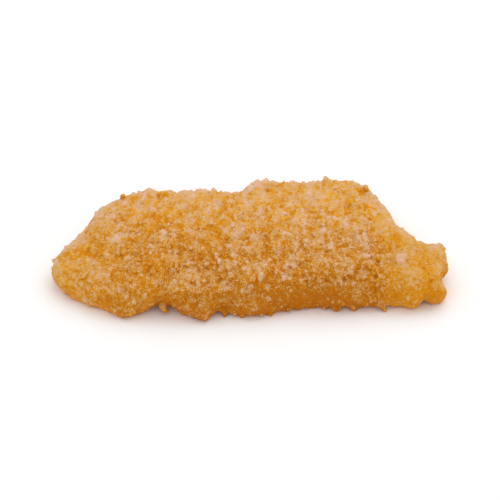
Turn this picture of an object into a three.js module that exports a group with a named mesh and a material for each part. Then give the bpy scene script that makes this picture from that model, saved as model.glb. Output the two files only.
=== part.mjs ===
// A breaded fish fillet, lying flat: one thick piece of fish in a lumpy crumb coat.
// Its long straight edge faces -Y, its rounded nose points to -X, and its tail end, cut off
// square as a narrow tab, points to +X. The crumb coat and the fish are one solid.
import * as THREE from "three";
import { ImprovedNoise } from "three/addons/math/ImprovedNoise.js";
import { mergeVertices } from "three/addons/utils/BufferGeometryUtils.js";

const { clamp, lerp, smoothstep } = THREE.MathUtils;

// Driving dimensions, in millimetres.
const LENGTH = 150; // nose to tail
const WIDTH = 74; // front edge to the back edge at its widest
const THICKNESS = 18; // at the loin, the thickest part

// The plan outline as two edges that both run from the nose to the tail. Each point is
// [share of LENGTH from the nose, share of WIDTH from the front edge].
const FRONT_EDGE = [
  [0, 0.31],
  [0.025, 0.19],
  [0.09, 0.085],
  [0.16, 0.03],
  [0.25, 0],
  [0.4, 0],
  [0.6, 0.05],
  [0.85, 0.07],
  [0.96, 0.08],
  [0.995, 0.13],
  [1, 0.28],
];
const BACK_EDGE = [
  [0, 0.31],
  [0.012, 0.42],
  [0.07, 0.64],
  [0.12, 0.87],
  [0.19, 0.92],
  [0.27, 0.89],
  [0.37, 0.92],
  [0.482, 0.9],
  [0.51, 0.975],
  [0.64, 1],
  [0.775, 1.01],
  [0.83, 0.88],
  [0.865, 0.67],
  [0.93, 0.49],
  [0.98, 0.46],
  [0.998, 0.41],
  [1, 0.28],
];

// The side all round, in shares of THICKNESS.
const WAIST = 0.36; // height at which the side stands out furthest
const TUCK = 0.2; // how far the side's foot lies in from there
const DOME = 0.05; // rise of the top from its rounded edge to the middle
const ROUND = { nose: 0.95, tail: 0.45 }; // width of the top edge's rounding
const HEIGHT = { nose: 0.62, loin: 1, tail: 0.8 };

// Clumps that stand out at the foot of the front edge, and the arches between them. along and
// wide are shares of LENGTH, and reach is in millimetres, negative for an arch.
const FOOT = [
  { along: 0.185, wide: 0.035, reach: 3.2 },
  { along: 0.285, wide: 0.04, reach: -4 },
  { along: 0.38, wide: 0.035, reach: 3.3 },
  { along: 0.43, wide: 0.018, reach: -3 },
  { along: 0.52, wide: 0.06, reach: 3 },
  { along: 0.905, wide: 0.02, reach: 2 },
  { along: 0.936, wide: 0.014, reach: -2.5 },
];
const ARCH_LIFT = 0.6; // how far an arch's underside rises, for each millimetre that it lies in

// The crease that runs slantwise down the tail's end face, between its back and its front lobe.
// It starts at the height top over the front edge and falls by slope for each millimetre back.
const CREASE = { top: 17, slope: 0.7, wide: 3.2, depth: 2.8, reach: 9 };

// The coat's unevenness: knobs as wide as a fingertip, and clumps of crumbs, in millimetres.
const RELIEF = [
  { size: 15, height: 1.5 },
  { size: 5.5, height: 0.8 },
];

// The body is made of spokes, each one a section from the middle of the underside out, round the
// side and back to the middle of the top. Spokes facing each other across the body share a hub.
const STATIONS = 80; // spokes along each edge
const HUBS = { first: 0.12, last: 0.87 }; // spokes before and after these shares meet in one hub
const STEPS = { under: 3, foot: 5, edge: 7, top: 9 }; // a spoke's points, part by part

const noise = new ImprovedNoise();

function edgeCurve(points) {
  const places = points.map(([along, across]) => new THREE.Vector3(along * LENGTH, across * WIDTH, 0));
  return new THREE.CatmullRomCurve3(places, false, "centripetal");
}

// Height of the top surface over the underside, at a share of the length from the nose.
function topHeight(along) {
  const rise = lerp(HEIGHT.nose, HEIGHT.loin, smoothstep(along, 0, 0.3));
  const fall = lerp(HEIGHT.loin, HEIGHT.tail, smoothstep(along, 0.75, 0.95));
  return THICKNESS * Math.min(rise, fall);
}

// A spoke's outline as [distance in from the rim, share of the way from the underside up to the
// waist, share of the way from the waist up to the top surface].
function spokeSection(length, round) {
  const tuck = TUCK * THICKNESS;
  const points = [];
  for (let i = 0; i < STEPS.under; i++) {
    points.push([lerp(length, tuck, i / STEPS.under), 0, 0]);
  }
  for (let i = 0; i < STEPS.foot; i++) {
    const angle = (Math.PI / 2) * (i / STEPS.foot);
    points.push([tuck * (1 - Math.sin(angle)), 1 - Math.cos(angle), 0]);
  }
  for (let i = 0; i < STEPS.edge; i++) {
    const angle = (Math.PI / 2) * (i / STEPS.edge);
    points.push([round * (1 - Math.cos(angle)), 1, Math.sin(angle)]);
  }
  for (let i = 0; i <= STEPS.top; i++) {
    points.push([lerp(round, length, i / STEPS.top), 1, 1]);
  }
  return points;
}

// Moves a point of the front edge's foot out for a clump, or in and up for an arch.
function shapeFoot(place, depth, along) {
  let reach = 0;
  for (const knob of FOOT) {
    reach += knob.reach * Math.exp(-(((along - knob.along) / knob.wide) ** 2));
  }
  const low = 1 - smoothstep(place.z, 0, 0.6 * THICKNESS);
  const near = 1 - smoothstep(depth, 0.2 * THICKNESS, 0.8 * THICKNESS);
  place.y -= reach * low * near;
  place.z += Math.max(0, -reach) * ARCH_LIFT * low * near;
}

// Moves a point of the tail's end in along the crease.
function creaseEnd(place) {
  const off = (place.z + CREASE.slope * place.y - CREASE.top) / CREASE.wide;
  const near = smoothstep(place.x, LENGTH - CREASE.reach, LENGTH);
  place.x -= CREASE.depth * near * Math.exp(-(off ** 2));
}

// The points of the spoke from hub to rim.
function spokePoints(rim, hub, onFront) {
  const length = rim.distanceTo(hub);
  const along = rim.x / LENGTH;
  const flatter = onFront ? smoothstep(along, 0.2, 0.6) : smoothstep(along, 0, 0.15);
  const round = Math.min(lerp(ROUND.nose, ROUND.tail, flatter) * THICKNESS, 0.8 * length);
  const waist = WAIST * THICKNESS;
  return spokeSection(length, round).map(([depth, low, high]) => {
    const place = rim.clone().lerp(hub, depth / length);
    const dome = DOME * THICKNESS * Math.sin((Math.PI / 2) * (depth / length));
    place.z = low * waist + high * (topHeight(place.x / LENGTH) + dome - waist);
    if (onFront) {
      shapeFoot(place, depth, along);
    }
    creaseEnd(place);
    return place;
  });
}

// The smooth body, made of spokes along the front edge to the tail and back along the back edge.
function smoothBody() {
  const front = edgeCurve(FRONT_EDGE);
  const back = edgeCurve(BACK_EDGE);
  const spokes = [];
  for (let i = 0; i < 2 * STATIONS; i++) {
    const onFront = i < STATIONS;
    const share = onFront ? i / STATIONS : 2 - i / STATIONS;
    const hubbed = clamp(share, HUBS.first, HUBS.last);
    const hub = front.getPointAt(hubbed).lerp(back.getPointAt(hubbed), 0.5);
    const rim = (onFront ? front : back).getPointAt(share);
    spokes.push(spokePoints(rim, hub, onFront));
  }
  const body = new THREE.BufferGeometry();
  body.setAttribute("position", new THREE.Float32BufferAttribute(skin(spokes), 3));
  return mergeVertices(body, 1e-3);
}

// Triangles between neighbouring spokes, as a list of coordinates. Each four-cornered patch is cut
// along its shorter diagonal, and the patches with no width at a hub are left out.
function skin(spokes) {
  const corners = [];
  const add = (...triangle) => {
    const [a, b, c] = triangle;
    if (Math.min(a.distanceTo(b), b.distanceTo(c), c.distanceTo(a)) > 1e-2) {
      triangle.forEach((corner) => corners.push(...corner));
    }
  };
  spokes.forEach((spoke, i) => {
    const next = spokes[(i + 1) % spokes.length];
    for (let k = 0; k + 1 < spoke.length; k++) {
      const [a, b, c, d] = [spoke[k], next[k], next[k + 1], spoke[k + 1]];
      if (a.distanceTo(c) < b.distanceTo(d)) {
        add(a, b, c);
        add(a, c, d);
      } else {
        add(a, b, d);
        add(b, c, d);
      }
    }
  });
  return corners;
}

// Raises the coat's knobs and clumps out of the smooth body. The underside keeps flat.
function roughen(body) {
  body.computeVertexNormals();
  const place = body.getAttribute("position");
  const normal = body.getAttribute("normal");
  const point = new THREE.Vector3();
  const out = new THREE.Vector3();
  for (let i = 0; i < place.count; i++) {
    point.fromBufferAttribute(place, i);
    out.fromBufferAttribute(normal, i);
    const held = smoothstep(point.z, 0, 0.3 * THICKNESS);
    let rise = 0;
    for (const { size, height } of RELIEF) {
      rise += height * noise.noise(point.x / size, point.y / size, point.z / size);
    }
    point.addScaledVector(out, rise * held);
    place.setXYZ(i, point.x, point.y, Math.max(0, point.z));
  }
}

// Puts the origin under the middle of the body, on the surface that it lies on.
function centre(body) {
  body.computeBoundingBox();
  const middle = body.boundingBox.getCenter(new THREE.Vector3());
  body.translate(-middle.x, -middle.y, -body.boundingBox.min.z);
}

const geometry = smoothBody();
roughen(geometry);
centre(geometry);

const crumbCoat = new THREE.MeshStandardMaterial({ color: 0xd39650, roughness: 0.85, metalness: 0 });
const fillet = new THREE.Mesh(geometry, crumbCoat);
fillet.name = "breaded_fillet";

const object = new THREE.Group();
object.add(fillet);

export default object;
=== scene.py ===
"""A breaded fish fillet: a crust of fused crumbs over the CAD body, with loose crumbs on top.

The constants give lengths in millimetres, apart from the studio's and the camera's, and MM turns
them into Blender's metres. Paleness goes from 0, well toasted, to 1, pale, and may pass either end.
"""
import math

import bmesh
import bpy
import numpy as np
from mathutils import Matrix, Vector, noise
from mathutils.kdtree import KDTree


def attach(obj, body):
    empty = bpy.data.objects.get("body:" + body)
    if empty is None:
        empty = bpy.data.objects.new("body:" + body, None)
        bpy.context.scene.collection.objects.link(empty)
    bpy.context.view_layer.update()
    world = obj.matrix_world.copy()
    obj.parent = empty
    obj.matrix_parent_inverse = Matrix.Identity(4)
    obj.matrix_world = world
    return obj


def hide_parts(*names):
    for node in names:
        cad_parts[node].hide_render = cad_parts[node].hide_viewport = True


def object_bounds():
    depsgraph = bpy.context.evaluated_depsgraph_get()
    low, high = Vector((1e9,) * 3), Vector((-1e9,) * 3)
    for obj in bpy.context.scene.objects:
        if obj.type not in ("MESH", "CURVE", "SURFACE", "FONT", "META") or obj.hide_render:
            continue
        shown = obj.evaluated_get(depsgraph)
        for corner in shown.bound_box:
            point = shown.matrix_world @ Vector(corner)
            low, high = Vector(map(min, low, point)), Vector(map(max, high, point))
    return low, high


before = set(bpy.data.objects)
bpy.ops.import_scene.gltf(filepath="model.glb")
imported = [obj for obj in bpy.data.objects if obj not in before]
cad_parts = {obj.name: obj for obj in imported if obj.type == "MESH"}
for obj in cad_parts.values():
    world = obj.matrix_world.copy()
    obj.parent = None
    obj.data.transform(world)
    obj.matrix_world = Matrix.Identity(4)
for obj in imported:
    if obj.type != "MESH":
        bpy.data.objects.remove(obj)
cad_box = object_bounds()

MM = 0.001
NODE = "breaded_fillet"
RANDOM = np.random.default_rng(8)

# The crust: the body remeshed, smoothed and drawn in, with crumbs fused into it.
WELD = 0.01  # points of the CAD mesh that are this close become one
BASE_VOXEL = 0.6
BASE_SMOOTHING = dict(factor=0.5, rounds=6)  # takes away the CAD facets
BASE_INSET = 1.2
KNOB_HEIGHT = 1.0
UNDER_VOXEL = 0.6
CRUST_VOXEL = 0.42
CRUST_SMOOTHING = dict(factor=0.4, rounds=1)
CRUST_TRIANGLES = 192_000

# One crumb: an icosphere of radius 1 with noise of two pitches on it, which shifts from shape to
# shape, stretched and turned at random. Crumbs and patches are longer from front to back than from
# side to side.
CRUMB_SHAPES = 12
CRUMB_BULK = dict(pitch=1.1, height=0.42, shift=5.1)
CRUMB_KNOBS = dict(pitch=2.6, height=0.28, shift=3.7)
CRUMB_STRETCH = (0.6, 1.4)
LONGER = np.array((0.9, 1.35, 1))

# The crumbs fused into the crust, in two rounds, and the loose ones on top: the most that there are
# of each kind, their radius, the space each one keeps, how far it is sunk in, in radii, and the
# icosphere's rounds of subdivision. A loose crumb's paleness differs from what is under it by its
# kind's variety, and some are paler by its glint, a painted highlight, where the crumbs stand out.
FUSED_FIRST = [
    dict(count=2400, radius=(1.1, 1.9), space=2.1, sunk=(0.3, 0.8), rounds=1),
    dict(count=3000, radius=(0.6, 0.95), space=1.45, sunk=(0.1, 0.6), rounds=1),
]
FUSED_LAST = [
    dict(count=6000, radius=(0.34, 0.58), space=0.9, sunk=(0.1, 0.5), rounds=1),
]
LOOSE = {
    "crumbs_medium": dict(
        count=2450, radius=(0.6, 1.0), space=1.45, sunk=(0.7, 1.05), rounds=1, variety=0.18, painted_glint=0
    ),
    "crumbs_small": dict(
        count=9800, radius=(0.4, 0.66), space=0.76, sunk=(0.75, 1.1), rounds=0, variety=0.22, painted_glint=0
    ),
    "crumbs_fine": dict(
        count=9800, radius=(0.22, 0.38), space=0.45, sunk=(0.25, 0.9), rounds=0, variety=0.26, painted_glint=0.4
    ),
    "crumbs_dust": dict(
        count=9800, radius=(0.14, 0.25), space=0.33, sunk=(0.0, 0.6), rounds=0, variety=0.35, painted_glint=0.3
    ),
}
# The share of loose crumbs that get the painted highlight.
GLINTING_SHARE = 0.3
# Below this height, what faces down this much gets this share of the usual loose crumbs.
UNDERSIDE = dict(height=1, facing=-0.7, share=0.1)
SMOOTH_SHADED = ("crumb_crust", "crumbs_medium")

# Crumbs and lumps with a place of their own: place and radius, length as a multiple of the radius,
# and paleness.
LUMPS = [
    # Crumbs that hang from the lobes of the front edge.
    dict(place=(-32.2, -33.4, 3.4), radius=1.4, length=1.3, pale=0.4),
    dict(place=(-31.2, -34.2, 2.0), radius=0.9, length=1.2, pale=0.4),
    dict(place=(-10.8, -33.6, 3.4), radius=1.5, length=1.3, pale=0.2),
    dict(place=(-9.4, -34.6, 1.3), radius=1.2, length=1.2, pale=0.2),
    # Crumbs along its foot.
    dict(place=(-3.0, -34.6, 1.0), radius=1.5, length=1.2, pale=0.3),
    dict(place=(7.5, -33.8, 1.0), radius=1.3, length=1.3, pale=0.3),
    dict(place=(14.0, -31.6, 0.9), radius=1.1, length=1.0, pale=0.3),
    dict(place=(32.0, -31.5, 1.0), radius=1.2, length=1.3, pale=0.3),
    dict(place=(38.5, -31.2, 1.0), radius=1.2, length=1.4, pale=0.3),
    # A splinter that sticks out of it.
    dict(place=(49.3, -31.8, 1.5), radius=0.6, length=4.8, pale=0.1),
    # Lumps that round off the tail's corner.
    dict(place=(72.4, -5.0, 9.0), radius=2.2, length=1.1, pale=0.35),
    dict(place=(72.6, -9.0, 8.6), radius=2.0, length=1.1, pale=0.3),
    dict(place=(72.2, -13.5, 8.4), radius=2.0, length=1.0, pale=0.3),
    # A pale clump on top, where the tail begins.
    dict(place=(55.8, -21.5, 15.8), radius=2.2, length=1.2, pale=0.85),
    dict(place=(57.8, -20.0, 15.8), radius=1.6, length=1.2, pale=0.85),
    # Crumbs that stand up along the back edge.
    dict(place=(29.7, 30.2, 18.0), radius=1.1, length=1.0, pale=0.7),
    dict(place=(45.7, 24.4, 17.8), radius=1.2, length=1.0, pale=0.6),
    dict(place=(-50.5, 23.6, 14.9), radius=0.9, length=1.0, pale=0.6),
]
LUMP_TILT = math.radians(-50)  # how their length leans from upright, towards the nose

# Larger places where the coat differs: their middle and their reach, seen from above, and how much
# paler it is there, how much more the tint of browning and painted shade takes, and by how many
# millimetres it swells.
PATCHES = [
    dict(place=(-34, -4), reach=12, pale=-0.3),
    dict(place=(-66, -8), reach=9, pale=-0.32),
    dict(place=(-60, -13), reach=3, pale=-0.4),
    dict(place=(-40, -20), reach=3, pale=-0.4),
    dict(place=(52, -17), reach=4, pale=-0.35),
    dict(place=(66, -30), reach=9, pale=0.06),
    dict(place=(-66, -27), reach=6, pale=0.15),
    dict(place=(-67, -20), reach=5, pale=-0.22),
    dict(place=(56, -22), reach=3, pale=0.5),
    dict(place=(30, -28), reach=8, pale=0.15),
    dict(place=(-12, -20), reach=9, pale=-0.2, brown_and_shade=0.1),
    dict(place=(-32, -24), reach=6, pale=-0.2),
    dict(place=(-2, -32), reach=7, pale=0.3),
    dict(place=(-61, -31), reach=9, pale=0.15),
    dict(place=(-54, 0), reach=16, brown_and_shade=0.15),
    dict(place=(-38, -39), reach=6, pale=0.55),
    dict(place=(-37, -27), reach=6, pale=-0.4),
    dict(place=(-49, -33), reach=8, pale=-0.12, brown_and_shade=0.12),
    dict(place=(67, -19), reach=8, pale=-0.3),
    dict(place=(53, -8), reach=6, pale=-0.15),
    dict(place=(-64, 2), reach=7, pale=-0.3),
    dict(place=(-24.5, 21), reach=3.2, swell=1.4),
    dict(place=(-35, 21), reach=5, swell=0.9),
    dict(place=(-13, 21.5), reach=6, swell=0.9),
    dict(place=(7, -18), reach=8, pale=-0.15),
    dict(place=(0, -15), reach=5, pale=0.12, brown_and_shade=-0.3),
    dict(place=(-16, -16), reach=5, pale=0.1, brown_and_shade=-0.2),
    dict(place=(0, -26), reach=4, pale=-0.25),
    dict(place=(0, -32), reach=4, brown_and_shade=-0.2),
    dict(place=(48, -32), reach=6, pale=0.14),
    dict(place=(66, -24), reach=6, pale=-0.2),
    dict(place=(47, 13), reach=6, pale=-0.2),
]

# Noise over the body: the size of its features, and a seed.
BROAD_NOISE = (14, 3.0)
PATCH_NOISE = (4.5, 8.0)
BROWN_NOISE = (7, 4.0)
FINE_BROWN_NOISE = (3, 5.0)
KNOB_NOISE = (5.5, 6.0)
FINE_KNOB_NOISE = (2.8, 2.0)

# Paleness: the usual one, and how much each thing changes it.
USUAL_PALENESS = 0.62
BROAD_CHANGE = 0.2
PATCH_CHANGE = 0.26
FRONT_CHANGE = 0.1
# The pale fringe along the back and round the nose is painted rim light.
PAINTED_RIM_LIGHT_CHANGE = 1.05
BATTER_CHANGE = -0.25  # the coat between the crumbs
CRUMB_VARIETY = 0.26  # how much it varies from one fused crumb to the next
USUAL_BROWNING = 0.11

# The pale fringe, a painted rim light, follows the body's side where it faces this way, or endways, at
# these heights.
BACKWARD = np.array((-0.3, 0.95, 0.0))
RIM_HEIGHTS = (6, 8)
RIM_FACING = (0.1, 0.9)  # how much it does so where the fringe starts, and where it is full

ALL_CRUMB = 0.9  # nearer to a crumb's middle than this, in its radii, a point is part of it
NOT_A_CRUMB = 1.35  # farther than this from every crumb, it is batter
CRUMBS_NEAR = 8  # how many crumbs are looked at to find the one that a point belongs to
CRUMB_DEPTH = (0.2, 2.4)  # heights over the base that count as deep in the coat and on top of it
RELIEF = 0.45  # the height over what is round it at which a point counts as standing out
NEIGHBOURHOOD = 0.8  # that height is a mean over cells of this size and those beside them

# The shader's colours, linear, by paleness.
TOAST_RAMP = [
    (0.0, (0.72, 0.272, 0.002)),
    (0.12, (0.73, 0.338, 0.01)),
    (0.25, (0.72, 0.374, 0.048)),
    (0.4, (0.715, 0.394, 0.104)),
    (0.6, (0.71, 0.403, 0.158)),
    (0.8, (0.712, 0.42, 0.208)),
    (1.0, (0.728, 0.45, 0.28)),
    (1.4, (0.74, 0.475, 0.32)),
]
BROWN_AND_SHADE_TINT = (0.7, 0.55, 0.25)  # what is left of red, green and blue where browning and painted shade are full
BROWN_AND_SHADE_STRENGTH = (1.4, 0.5)  # how strongly browning and painted shade take at paleness 0 and at paleness 1
# What the shader adds to paleness at the low and the high end of each thing.
# Depth and relief make the hollows between crumbs more golden: partly the coat's own toasting, partly
# painted shade.
DEPTH_TOAST_AND_PAINTED_SHADE = (-0.25, 0.15)
RELIEF_TOAST_AND_PAINTED_SHADE = (-0.32, 0.12)
# Painted light and shade: paler where the surface faces up, more golden on its sides and undersides.
UPWARD_PAINTED_SHADING = (-0.6, 0.18)
PATCH_SHADE = (-0.3, 0.3)
CLUMP_SHADE = (-0.24, 0.24)
CRUMB_SHADE = (-0.2, 0.2)
DUST_SHADE = (-0.3, 0.3)
# The sizes of the shader's textures, and the range that most of their values lie in.
PATCH_SIZE = 5.0
CLUMP_SIZE = 1.6
CRUMB_SIZE = 0.6
DUST_SIZE = 0.4
GLOSS_SIZE = 1.4
BUMP_SIZE = 0.45
GRAIN_ENDS = (0.3, 0.7)
CELL_ENDS = (0.2, 0.8)
CELL_WARP = dict(size=0.8, reach=0.9)  # noise that bends the cells, as multiples of their size
SHORTER = (1.1, 0.65, 0.85)  # scales the shader's places, which makes its textures longer in Y
ROUGHNESS = (0.55, 0.85)
BUMP_HEIGHT = 0.08
BUMP_STRENGTH = 0.6
SHEEN_WEIGHT = 0.08
SHEEN_ROUGHNESS = 0.5
SHEEN_TINT = (1, 0.85, 0.8, 1)
SPECULAR = 0.05

# The studio and the camera, in metres and watts. The lens and the sensor are in millimetres.
FLOOR_RADIUS = 4
FLOOR_SIDES = 96
FLOOR_WHITE = (0.97, 0.97, 0.97, 1)
FLOOR_ROUGHNESS = 0.9
SKY_STRENGTH = 0.88
LAMPS = {
    "lamp_top": dict(place=(0.2, 0.3, 0.75), size=0.9, watts=1.9),
    "lamp_front": dict(place=(-0.3, -0.9, 0.6), size=0.8, watts=0.6),
}
CAMERA_ELEVATION = math.radians(35)
CAMERA_DISTANCE = 0.65
CAMERA_LENS = 121.7
CAMERA_SENSOR = 36
FRAME_DROP = 3.66 * MM  # the object stands that much above the picture's middle


def smoothstep(x, low, high):
    """0 at low and beyond it, 1 at high and beyond it, and smooth between."""
    t = np.clip((x - low) / (high - low), 0, 1)
    return t * t * (3 - 2 * t)


def rising(metres, low, high):
    """A smooth step up between two places in millimetres."""
    return smoothstep(metres, low * MM, high * MM)


def falling(metres, low, high):
    """A smooth step down between two places in millimetres."""
    return 1 - rising(metres, low, high)


def noise_at(points, size, seed):
    """Smooth noise, about -1 to 1, at each point, with features of that many millimetres."""
    shift = Vector((seed, 1.7 * seed, 2.3 * seed))
    return np.array([noise.noise(Vector(p) / (size * MM) + shift) for p in points])


# Meshes and arrays.


def mesh_arrays(mesh):
    """A mesh's points, vertex normals and triangles as arrays."""
    points = np.empty(len(mesh.vertices) * 3, np.float32)
    mesh.vertices.foreach_get("co", points)
    normals = np.empty(len(mesh.vertices) * 3, np.float32)
    mesh.vertices.foreach_get("normal", normals)
    mesh.calc_loop_triangles()
    triangles = np.empty(len(mesh.loop_triangles) * 3, np.int32)
    mesh.loop_triangles.foreach_get("vertices", triangles)
    return (
        points.reshape(-1, 3).astype(float),
        normals.reshape(-1, 3).astype(float),
        triangles.reshape(-1, 3),
    )


def object_of(name, points, faces):
    """An object of triangles."""
    mesh = bpy.data.meshes.new(name)
    mesh.vertices.add(len(points))
    mesh.vertices.foreach_set("co", points.astype(np.float32).ravel())
    mesh.loops.add(faces.size)
    mesh.loops.foreach_set("vertex_index", faces.astype(np.int32).ravel())
    mesh.polygons.add(len(faces))
    mesh.polygons.foreach_set("loop_start", np.arange(0, faces.size, 3, dtype=np.int32))
    mesh.update(calc_edges=True)
    made = bpy.data.objects.new(name, mesh)
    bpy.context.scene.collection.objects.link(made)
    return made


def store(mesh, name, values):
    """Keeps a number for each point under that name, for the shader."""
    layer = mesh.attributes.new(name, "FLOAT", "POINT")
    layer.data.foreach_set("value", np.asarray(values, np.float32))


def stored(mesh, name):
    """The numbers kept under that name."""
    values = np.empty(len(mesh.vertices), np.float32)
    mesh.attributes[name].data.foreach_get("value", values)
    return values


def tree_of(points):
    """A tree that finds the nearest of the points."""
    tree = KDTree(len(points))
    for i, p in enumerate(points):
        tree.insert(p, i)
    tree.balance()
    return tree


def remesh_evenly(thing, name, voxel, smoothing):
    """Makes the object one even skin, smoothed that much."""
    remesh = thing.modifiers.new("remesh", "REMESH")
    remesh.mode = "VOXEL"
    remesh.voxel_size = voxel * MM
    smooth = thing.modifiers.new("smooth", "SMOOTH")
    smooth.factor = smoothing["factor"]
    smooth.iterations = smoothing["rounds"]
    apply_modifiers(thing, name)


def apply_modifiers(thing, name):
    """Puts the mesh that the modifiers make in place of the object's own."""
    graph = bpy.context.evaluated_depsgraph_get()
    mesh = bpy.data.meshes.new_from_object(thing.evaluated_get(graph), depsgraph=graph)
    thing.modifiers.clear()
    thing.data = mesh
    thing.name = mesh.name = name


def body_surface():
    """The body's smoothed surface, as points, normals and triangles."""
    body = bpy.data.objects.new("body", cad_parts[NODE].data.copy())
    bpy.context.scene.collection.objects.link(body)
    weld = bmesh.new()
    weld.from_mesh(body.data)
    bmesh.ops.remove_doubles(weld, verts=weld.verts, dist=WELD * MM)
    weld.to_mesh(body.data)
    weld.free()
    remesh_evenly(body, "body", BASE_VOXEL, BASE_SMOOTHING)
    surface = mesh_arrays(body.data)
    bpy.data.objects.remove(body)
    return surface


# Fields: each gives one number for each place.


def patches_at(places, what):
    """What the patches add up to."""
    total = np.zeros(len(places))
    for patch in PATCHES:
        off = np.hypot(*(places[:, :2] - np.array(patch["place"]) * MM).T)
        total += patch.get(what, 0) * np.exp(-((off / (patch["reach"] * MM)) ** 2))
    return total


def fineness(places):
    """How large features are: less than 1 towards the nose and on the tail."""
    x = places[:, 0]
    return 1 - 0.25 * rising(x, 44, 58) - 0.2 * rising(-x, 48, 70)


def crumb_size(places):
    """How large the crumbs are: smaller where the coat is finer and down the front edge."""
    return fineness(places) * (1 - 0.25 * falling(places[:, 1], -33, -19))


def calm_ends(places):
    """How strong the broad differences are: weaker towards the nose and on the tail."""
    return 1 - 2.5 * (1 - fineness(places))


def low_front(places):
    """How much each place is low down on the long front edge."""
    _, y, z = places.T
    return falling(y, -30, -20) * falling(z, 8, 17)


def evenness(places):
    """How much shades differ: less on the long front edge, the nose, the tail and the back."""
    back = 0.6 * rising(places[:, 1], 8, 26)
    ends = 5.5 * (1 - fineness(places))
    return 1 - 0.4 * np.maximum(np.maximum(0.7 * low_front(places), ends), back)


def speckle(places):
    """How much the finest specks show: most down the front edge, least at the nose and tail."""
    front = falling(places[:, 1], -30, -8)
    return (0.8 + 0.75 * front) * (1 - 1.2 * (1 - fineness(places)))


def rim_of(surface):
    """The places on the body's side that face backward or endways, and how much they do."""
    points, normals, _ = surface
    facing = np.maximum(normals @ BACKWARD, 0.5 * np.abs(normals[:, 0]))
    low, high = RIM_HEIGHTS
    least, full = RIM_FACING
    chosen = (points[:, 2] > low * MM) & (points[:, 2] < high * MM) & (facing > least)
    return tree_of(points[chosen] * (1, 1, 0)), smoothstep(facing[chosen], least, full)


def painted_rim_light_field(places, rim):
    """How much each place belongs to the pale fringe along the back and round the nose, a painted rim
    light.
    """
    tree, strength = rim
    found = [tree.find((x, y, 0))[1:] for x, y, _ in places]
    nearest, distance = (np.array(column) for column in zip(*found))
    near = 0.75 * falling(distance, 1, 9) + 0.25 * falling(distance, 4, 16)
    x, y, z = places.T
    tail = 0.45 * rising(x, 52, 62)
    foot = 0.7 * rising(y, 5, 15) * falling(z, 5, 15)
    return strength[nearest] * near * (1 - tail) * (1 - foot)


def standing_field(places, rim):
    """How much the crumbs stand out: most along the front shoulder and the back edge."""
    x, y, _ = places.T
    shoulder = rising(y, -34, -27) * falling(y, -14, 6)
    middle = rising(x, -60, -40) * falling(x, 45, 60)
    return np.maximum(shoulder * middle, 0.4 * painted_rim_light_field(places, rim))


def toast_field(places, rim):
    """The coat's paleness, without the differences from crumb to crumb, with painted rim light along
    the back and round the nose and painted light low down at the foot.
    """
    _, y, z = places.T
    broad = noise_at(places, *BROAD_NOISE) * calm_ends(places)
    patch = noise_at(places / LONGER, *PATCH_NOISE)
    patch *= evenness(places) + 0.7 * rising(y, -10, 20)
    # Painted light low down, most at the nose and the tail, against the floor's shadow at the foot.
    low = falling(z, 1, 10)
    low *= 0.1 + 1.5 * (1 - fineness(places))
    # Paler on the front face, which takes back part of the painted side shade of the shader's upward
    # term.
    front = falling(y, -37, -24)
    pale = USUAL_PALENESS + BROAD_CHANGE * broad + PATCH_CHANGE * patch + low
    pale += FRONT_CHANGE * front
    # Painted rim light: paler along the back and round the nose.
    pale += PAINTED_RIM_LIGHT_CHANGE * painted_rim_light_field(places, rim)
    return pale + patches_at(places, "pale")


def brown_and_shade_field(places):
    """How browned the coat is, unevenly, with painted shade that darkens it towards the front and most
    low down on the long front edge, and painted light that makes the foot less browned.
    """
    x, y, z = places.T
    front = falling(y, -20, 12)
    middle = rising(x, -45, 0) * falling(x, 30, 55)
    nose = falling(x, -75, -25)
    tail = rising(x, 42, 62)
    uneven = 0.2 * noise_at(places, *BROWN_NOISE) + 0.18 * noise_at(places, *FINE_BROWN_NOISE)
    uneven *= calm_ends(places)
    # Painted shade: darker towards the front, and most low down on the long front edge.
    painted_front_shade = (0.3 - 0.25 * nose - 0.16 * tail) * front + 0.44 * middle * low_front(places)
    # Painted light: less browned at the foot, against the floor's shadow there.
    foot = 0.22 * falling(z, 0, 4)
    return USUAL_BROWNING + uneven + painted_front_shade - foot + patches_at(places, "brown_and_shade")


# Crumbs.


def crumb_shape(rounds, seed):
    """One irregular crumb of radius about 1, as points and faces."""
    ball = bmesh.new()
    bmesh.ops.create_icosphere(ball, subdivisions=rounds + 1, radius=1)
    for v in ball.verts:
        n = v.co.normalized()
        bulk = noise.noise(n * CRUMB_BULK["pitch"] + Vector((seed * CRUMB_BULK["shift"], 0, 0)))
        knob = noise.noise(n * CRUMB_KNOBS["pitch"] + Vector((0, seed * CRUMB_KNOBS["shift"], 0)))
        v.co = n * (1 + CRUMB_BULK["height"] * bulk + CRUMB_KNOBS["height"] * knob)
    points = np.array([v.co for v in ball.verts])
    faces = np.array([[v.index for v in f.verts] for f in ball.faces])
    ball.free()
    return points, faces


def random_turns(count):
    """Random rotation matrices."""
    q = RANDOM.normal(size=(count, 4))
    w, x, y, z = (q / np.linalg.norm(q, axis=1, keepdims=True)).T
    rows = [
        [1 - 2 * (y * y + z * z), 2 * (x * y - z * w), 2 * (x * z + y * w)],
        [2 * (x * y + z * w), 1 - 2 * (x * x + z * z), 2 * (y * z - x * w)],
        [2 * (x * z - y * w), 2 * (y * z + x * w), 1 - 2 * (x * x + y * y)],
    ]
    return np.array(rows).transpose(2, 0, 1)


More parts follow.
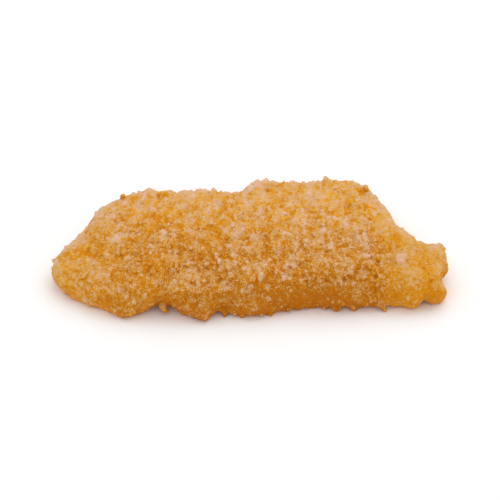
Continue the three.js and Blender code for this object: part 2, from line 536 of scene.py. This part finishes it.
def spread(points, triangles, count, spacing, wanted):
    """Up to count random places, with their triangles, spacing apart (less for small crumbs).

    A triangle gets places by its area times how much it is wanted.
    """
    a, b, c = (points[triangles[:, k]] for k in range(3))
    area = np.linalg.norm(np.cross(b - a, c - a), axis=1) * wanted / crumb_size(a) ** 2
    chosen = RANDOM.choice(len(triangles), size=count * 4, p=area / area.sum())
    u, v = RANDOM.random((2, len(chosen)))
    fold = u + v > 1
    u[fold], v[fold] = 1 - u[fold], 1 - v[fold]
    places = a[chosen] + u[:, None] * (b - a)[chosen] + v[:, None] * (c - a)[chosen]
    gaps = (spacing * crumb_size(places)) ** 2
    taken = {}
    kept = []
    for i, (x, y, z) in enumerate(places / LONGER):
        home = (int(x // spacing), int(y // spacing), int(z // spacing))
        near = (
            q
            for dx in (-1, 0, 1)
            for dy in (-1, 0, 1)
            for dz in (-1, 0, 1)
            for q in taken.get((home[0] + dx, home[1] + dy, home[2] + dz), ())
        )
        if all((x - q[0]) ** 2 + (y - q[1]) ** 2 + (z - q[2]) ** 2 > gaps[i] for q in near):
            taken.setdefault(home, []).append((x, y, z))
            kept.append(i)
            if len(kept) == count:
                break
    return chosen[kept], places[kept]


def crumbs_at(centres, radius, stretch, turns, rounds, pale):
    """Crumbs at those places, as mesh arrays and what each one is like."""
    count = len(centres)
    shapes = [crumb_shape(rounds, seed) for seed in range(CRUMB_SHAPES)]
    pick = RANDOM.integers(0, len(shapes), count)
    made, faces, start = [], [], 0
    for i in range(count):
        shape, shape_faces = shapes[pick[i]]
        made.append((shape * (radius[i] * stretch[i])) @ turns[i].T * LONGER + centres[i])
        faces.append(shape_faces + start)
        start += len(shape)
    made = np.concatenate(made)
    made[:, 2] = np.maximum(made[:, 2], 0)
    metric = np.einsum("nij,nj,nkj->nik", turns, 1 / stretch**2, turns) / np.outer(LONGER, LONGER)
    return dict(
        points=made,
        faces=np.concatenate(faces),
        owner=np.repeat(np.arange(count), [len(shapes[k][0]) for k in pick]),
        centres=centres,
        metric=metric / radius[:, None, None] ** 2,
        pale=pale,
    )


def scatter(surface, kind, rim, wanted=1.0):
    """Crumbs of one kind all over the surface, as crumbs_at gives them."""
    points, normals, triangles = surface
    chosen, places = spread(points, triangles, kind["count"], kind["space"] * MM, wanted)
    out = normals[triangles[chosen]].mean(1)
    out /= np.linalg.norm(out, axis=1, keepdims=True)
    count = len(places)
    radius = RANDOM.uniform(*kind["radius"], count) * MM * crumb_size(places)
    stretch = RANDOM.uniform(*CRUMB_STRETCH, (count, 3))
    sunk = RANDOM.uniform(*kind["sunk"], count) - 0.12 * standing_field(places, rim)
    flat_back = rising(places[:, 1], 4, 20) * smoothstep(out[:, 2], 0.5, 0.9)
    sunk += 0.25 * low_front(places) + 0.15 * flat_back + 0.5 * (1 - fineness(places))
    centres = places - out * (sunk * radius)[:, None]
    pale = toast_field(places, rim) + evenness(places) * RANDOM.normal(0, CRUMB_VARIETY, count)
    return crumbs_at(centres, radius, stretch, random_turns(count), kind["rounds"], pale)


def lumps():
    """The crumbs and lumps that have a place of their own."""
    centres = np.array([lump["place"] for lump in LUMPS]) * MM
    radius = np.array([lump["radius"] for lump in LUMPS]) * MM
    stretch = np.array([(1, 1, lump["length"]) for lump in LUMPS])
    turns = np.array([Matrix.Rotation(LUMP_TILT, 3, "Y") for _ in LUMPS])
    pale = np.array([lump["pale"] for lump in LUMPS])
    return crumbs_at(centres, radius, stretch, turns, 1, pale)


# The pieces.


def knobbed(surface):
    """The base: the surface drawn in to make room for the crumbs, with knobs and swellings."""
    points, normals, triangles = surface
    z = points[:, 2]
    knobs = 0.8 * noise_at(points, *KNOB_NOISE) + 0.5 * noise_at(points, *FINE_KNOB_NOISE)
    forward = smoothstep(-normals[:, 1], 0.1, 0.8)
    endways = smoothstep(np.abs(normals[:, 0]), 0.3, 0.8)
    inset = BASE_INSET * MM * (1 - 0.6 * np.maximum(forward, endways))
    height = calm_ends(points) * rising(z, 0.3, 2.5) * KNOB_HEIGHT * MM
    rise = fineness(points) * (height * knobs - inset)
    rise += patches_at(points, "swell") * MM * rising(z, 6, 12)
    offset = normals * rise[:, None]
    offset[:, 2] *= rising(z, 1, 5)
    return points + offset, normals, triangles


def fused(surface, kinds, voxel):
    """The surface and the crumbs on it as one skin, in an object."""
    parts = [(surface[0], surface[2])] + [(kind["points"], kind["faces"]) for kind in kinds]
    starts = np.cumsum([0] + [len(points) for points, _ in parts[:-1]])
    points = np.concatenate([points for points, _ in parts])
    faces = np.concatenate([faces + start for (_, faces), start in zip(parts, starts)])
    points[:, 2] = np.maximum(points[:, 2], 0)
    crust = object_of("crumb_crust", points, faces)
    remesh_evenly(crust, "crumb_crust", voxel, CRUST_SMOOTHING)
    return crust


def crumb_crust(surface, rim):
    """The crust, which is the base with two rounds of crumbs fused into it, and the base."""
    base = knobbed(surface)
    first = [scatter(base, kind, rim) for kind in FUSED_FIRST] + [lumps()]
    under = fused(base, first, UNDER_VOXEL)
    below = mesh_arrays(under.data)
    bpy.data.objects.remove(under)
    last = [scatter(below, kind, rim) for kind in FUSED_LAST]
    crust = fused(base, first + last, CRUST_VOXEL)
    count = sum(len(p.vertices) - 2 for p in crust.data.polygons)
    if count > CRUST_TRIANGLES:
        fewer = crust.modifiers.new("fewer", "DECIMATE")
        fewer.ratio = CRUST_TRIANGLES / count
        apply_modifiers(crust, "crumb_crust")
    paint_crust(crust.data, rim, first + last)
    return crust, base


def paint_crust(mesh, rim, kinds):
    """Stores each point's paleness, from the crumb that it belongs to, and its browning with painted
    shade.
    """
    points = mesh_arrays(mesh)[0]
    centres = np.concatenate([kind["centres"] for kind in kinds])
    metric = np.concatenate([kind["metric"] for kind in kinds])
    pale = np.concatenate([kind["pale"] for kind in kinds])
    tree = tree_of(centres)
    near = np.array([[hit[1] for hit in tree.find_n(p, CRUMBS_NEAR)] for p in points])
    offset = points[:, None, :] - centres[near]
    far = np.sqrt(np.einsum("pni,pnij,pnj->pn", offset, metric[near], offset))
    closest = far.argmin(1)
    rows = np.arange(len(points))
    crumb = smoothstep(far[rows, closest], NOT_A_CRUMB, ALL_CRUMB)
    batter = toast_field(points, rim) + BATTER_CHANGE
    store(mesh, "pale", crumb * pale[near[rows, closest]] + (1 - crumb) * batter)
    store(mesh, "brown_and_shade", brown_and_shade_field(points))


def loose_crumbs(name, kind, crust, rim):
    """One mesh of many separate crumbs on the crust, with few of them under it."""
    surface = mesh_arrays(crust.data)
    up = surface[1][surface[2]].mean(1)[:, 2]
    low = surface[0][surface[2]].mean(1)[:, 2] < UNDERSIDE["height"] * MM
    under = low & (up < UNDERSIDE["facing"])
    made = scatter(surface, kind, rim, np.where(under, UNDERSIDE["share"], 1.0))
    crumbs = object_of(name, made["points"], made["faces"])
    tree = tree_of(surface[0])
    below = np.array([tree.find(c)[1] for c in made["centres"]])
    near_pale = stored(crust.data, "pale")[below]
    pale = near_pale + evenness(made["centres"]) * RANDOM.normal(0, kind["variety"], len(below))
    # Painted highlights: a share of the crumbs is paler where the crumbs stand out.
    glinting = RANDOM.random(len(below)) < GLINTING_SHARE
    pale += kind["painted_glint"] * glinting * standing_field(made["centres"], rim)
    store(crumbs.data, "pale", pale[made["owner"]])
    store(crumbs.data, "brown_and_shade", brown_and_shade_field(made["points"]))
    return crumbs


def paint_relief(pieces, base):
    """Stores each point's height over the base and over what is round it, and its contrast."""
    tree = tree_of(base[0])
    points = [mesh_arrays(piece.data)[0] for piece in pieces]
    below = [np.array([tree.find(p)[1] for p in places]) for places in points]
    heights = [
        np.einsum("pi,pi->p", places - base[0][under], base[1][under])
        for places, under in zip(points, below)
    ]
    usual = usual_height(np.concatenate(points), np.concatenate(heights))
    for piece, places, height in zip(pieces, points, heights):
        store(piece.data, "depth", rising(height, *CRUMB_DEPTH))
        store(piece.data, "relief", np.clip((height - usual(places)) / (RELIEF * MM), -1, 1))
        store(piece.data, "even", evenness(places))
        store(piece.data, "speckle", speckle(places))


def usual_height(points, heights):
    """A function from places to the mean height of the points round each."""
    side = NEIGHBOURHOOD * MM
    low = points.min(0) - 2 * side
    cells = tuple(((points.max(0) - low) // side + 3).astype(int))

    def cell(places):
        return tuple(((places - low) // side).astype(int).T)

    total, count = np.zeros(cells), np.zeros(cells)
    np.add.at(total, cell(points), heights)
    np.add.at(count, cell(points), 1)
    for axis in range(3):
        total = total + np.roll(total, 1, axis) + np.roll(total, -1, axis)
        count = count + np.roll(count, 1, axis) + np.roll(count, -1, axis)
    mean = total / np.maximum(count, 1)
    return lambda places: mean[cell(places)]


# Materials.


class MaterialNodes:
    """A new material's nodes, with a way to make each kind that the coat needs."""

    def __init__(self, name):
        self.material = bpy.data.materials.new(name)
        self.material.use_nodes = True
        self.tree = self.material.node_tree
        self.tree.nodes.clear()
        coordinates = self.new("TexCoord").outputs
        shorter = self.new("VectorMath")
        shorter.operation = "MULTIPLY"
        self.place = self.feed(shorter, {0: coordinates["Object"], 1: SHORTER})["Vector"]
        self.upward = self.feed(self.new("SeparateXYZ"), {"Vector": coordinates["Normal"]})["Z"]

    def new(self, kind):
        """A node of that kind."""
        return self.tree.nodes.new("ShaderNode" + kind)

    def feed(self, node, inputs):
        """Gives the node numbers and other nodes' outputs, and returns its own outputs."""
        for name, value in inputs.items():
            if isinstance(value, bpy.types.NodeSocket):
                self.tree.links.new(value, node.inputs[name])
            else:
                node.inputs[name].default_value = value
        return node.outputs

    def attribute(self, name):
        """The number that is stored for each point."""
        node = self.new("Attribute")
        node.attribute_name = name
        return node.outputs["Fac"]

    def combine(self, operation, a, b):
        """Two numbers, added or multiplied."""
        node = self.new("Math")
        node.operation = operation
        return self.feed(node, {0: a, 1: b})["Value"]

    def remap(self, value, ends, to):
        """The value, with its two ends moved, and not held between them."""
        node = self.new("MapRange")
        node.clamp = False
        numbers = zip(("From Min", "From Max", "To Min", "To Max"), (*ends, *to))
        return self.feed(node, {"Value": value, **dict(numbers)})["Result"]

    def noise(self, size, detail):
        """Smooth noise with features of that many millimetres."""
        inputs = {"Vector": self.place, "Scale": 1 / (size * MM), "Detail": detail}
        return self.feed(self.new("TexNoise"), inputs)

    def grain(self, size, detail=2.0):
        """Noise as one number."""
        return self.noise(size, detail)["Fac"]

    def cells(self, size):
        """Random shades in irregular cells of that many millimetres."""
        bend = self.noise(CELL_WARP["size"] * size, 1.0)["Color"]
        moved = self.new("VectorMath")
        moved.operation = "MULTIPLY_ADD"
        reach = (CELL_WARP["reach"] * size * MM,) * 3
        bent = self.feed(moved, {0: bend, 1: reach, 2: self.place})["Vector"]
        return self.feed(self.new("TexVoronoi"), {"Vector": bent, "Scale": 1 / (size * MM)})["Color"]

    def ramp(self, value, colours):
        """The colour that the list gives at that value."""
        end = colours[-1][0]
        node = self.new("ValToRGB")
        while len(node.color_ramp.elements) < len(colours):
            node.color_ramp.elements.new(0.5)
        for element, (position, colour) in zip(node.color_ramp.elements, colours):
            element.position = position / end
            element.color = (*colour, 1)
        return self.feed(node, {"Fac": self.combine("MULTIPLY", value, 1 / end)})["Color"]

    def tinted(self, colour, tint, amount):
        """The colour, multiplied by the tint as far as the amount says."""
        node = self.new("Mix")
        node.data_type = "RGBA"
        node.blend_type = "MULTIPLY"
        return self.feed(node, {"Factor": amount, "A": colour, "B": (*tint, 1)})["Result"]


def shaded_paleness(nodes):
    """The stored paleness with what height, direction and textures of four sizes add to it; height and
    direction add painted shade in the hollows and on sides and undersides, and painted light facing up.
    """
    # Partly the coat's own golden hollows, partly painted shade in them.
    depth = nodes.remap(nodes.attribute("depth"), (0, 1), DEPTH_TOAST_AND_PAINTED_SHADE)
    relief = nodes.remap(nodes.attribute("relief"), (-1, 1), RELIEF_TOAST_AND_PAINTED_SHADE)
    # Painted light and shade: paler facing up, more golden facing sideways and down.
    upward = nodes.remap(nodes.upward, (0, 1), UPWARD_PAINTED_SHADING)
    patches = nodes.remap(nodes.grain(PATCH_SIZE, 1.0), GRAIN_ENDS, PATCH_SHADE)
    clumps = nodes.remap(nodes.cells(CLUMP_SIZE), CELL_ENDS, CLUMP_SHADE)
    crumbs = nodes.remap(nodes.cells(CRUMB_SIZE), CELL_ENDS, CRUMB_SHADE)
    dust = nodes.remap(nodes.grain(DUST_SIZE, 0.0), GRAIN_ENDS, DUST_SHADE)
    uneven = patches
    for part in (relief, clumps, crumbs):
        uneven = nodes.combine("ADD", uneven, part)
    paleness = nodes.combine("MULTIPLY", uneven, nodes.attribute("even"))
    specks = nodes.combine("MULTIPLY", dust, nodes.attribute("speckle"))
    for part in (nodes.attribute("pale"), depth, specks, upward):
        paleness = nodes.combine("ADD", paleness, part)
    return paleness


def coat_colour(nodes):
    """Paleness picks the colour, and the tint of browning and painted shade takes more on toasted
    places than on pale ones.
    """
    paleness = shaded_paleness(nodes)
    strength = nodes.remap(paleness, (0, 1), BROWN_AND_SHADE_STRENGTH)
    brown_and_shade_amount = nodes.combine("MULTIPLY", nodes.attribute("brown_and_shade"), strength)
    return nodes.tinted(nodes.ramp(paleness, TOAST_RAMP), BROWN_AND_SHADE_TINT, brown_and_shade_amount)


def fine_bump(nodes):
    """Slopes too fine for the mesh."""
    height = nodes.grain(BUMP_SIZE)
    bump = {"Height": height, "Distance": BUMP_HEIGHT * MM, "Strength": BUMP_STRENGTH}
    return nodes.feed(nodes.new("Bump"), bump)["Normal"]


def crumb_coat():
    """The material of all the crumbs: dry, with a faint sheen."""
    nodes = MaterialNodes("crumb_coat")
    coat = {
        "Base Color": coat_colour(nodes),
        "Roughness": nodes.remap(nodes.grain(GLOSS_SIZE), GRAIN_ENDS, ROUGHNESS),
        "Normal": fine_bump(nodes),
        "Sheen Weight": SHEEN_WEIGHT,
        "Sheen Roughness": SHEEN_ROUGHNESS,
        "Sheen Tint": SHEEN_TINT,
        "Specular IOR Level": SPECULAR,
    }
    shader = nodes.feed(nodes.new("BsdfPrincipled"), coat)
    nodes.feed(nodes.new("OutputMaterial"), {"Surface": shader["BSDF"]})
    return nodes.material


def floor_material():
    """Matt white."""
    material = bpy.data.materials.new("floor_white")
    material.use_nodes = True
    shader = material.node_tree.nodes["Principled BSDF"]
    shader.inputs["Base Color"].default_value = FLOOR_WHITE
    shader.inputs["Roughness"].default_value = FLOOR_ROUGHNESS
    return material


# The scene.


def fillet():
    """Builds the pieces, sets what each one rides on, and hides the CAD part that they stand for."""
    coat = crumb_coat()
    surface = body_surface()
    rim = rim_of(surface)
    crust, base = crumb_crust(surface, rim)
    pieces = [crust] + [loose_crumbs(name, kind, crust, rim) for name, kind in LOOSE.items()]
    paint_relief(pieces, base)
    for piece in pieces:
        if piece.name in SMOOTH_SHADED:
            piece.data.polygons.foreach_set("use_smooth", [True] * len(piece.data.polygons))
        piece.data.materials.clear()
        piece.data.materials.append(coat)
        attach(piece, "root")
        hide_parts(NODE)


def studio():
    """A white floor, a pale sky and soft lamps above."""
    bpy.ops.mesh.primitive_circle_add(vertices=FLOOR_SIDES, radius=FLOOR_RADIUS, fill_type="NGON")
    floor = bpy.context.object
    floor.name = "floor"
    floor.data.materials.append(floor_material())
    world = bpy.data.worlds.new("studio")
    bpy.context.scene.world = world
    world.use_nodes = True
    sky = world.node_tree.nodes["Background"]
    sky.inputs["Color"].default_value = (1, 1, 1, 1)
    sky.inputs["Strength"].default_value = SKY_STRENGTH
    for name, lamp in LAMPS.items():
        add_lamp(name, **lamp)


def add_lamp(name, place, size, watts):
    """A round soft lamp that points at the object."""
    data = bpy.data.lights.new(name, "AREA")
    data.shape = "DISK"
    data.size = size
    data.energy = watts
    light = bpy.data.objects.new(name, data)
    bpy.context.scene.collection.objects.link(light)
    light.location = place
    light.rotation_euler = (-Vector(place)).to_track_quat("-Z", "Y").to_euler()


def camera():
    """The camera, in front of the long edge and above it."""
    low, high = cad_box
    back = Vector((0, -math.cos(CAMERA_ELEVATION), math.sin(CAMERA_ELEVATION)))
    up = Vector((0, math.sin(CAMERA_ELEVATION), math.cos(CAMERA_ELEVATION)))
    target = (low + high) / 2 - up * FRAME_DROP
    data = bpy.data.cameras.new("camera")
    data.lens = CAMERA_LENS
    data.sensor_width = CAMERA_SENSOR
    cam = bpy.data.objects.new("camera", data)
    bpy.context.scene.collection.objects.link(cam)
    cam.location = target + back * CAMERA_DISTANCE
    cam.rotation_euler = (-back).to_track_quat("-Z", "Y").to_euler()
    bpy.context.scene.camera = cam


fillet()
studio()
camera()
bpy.context.scene.view_settings.view_transform = "Standard"
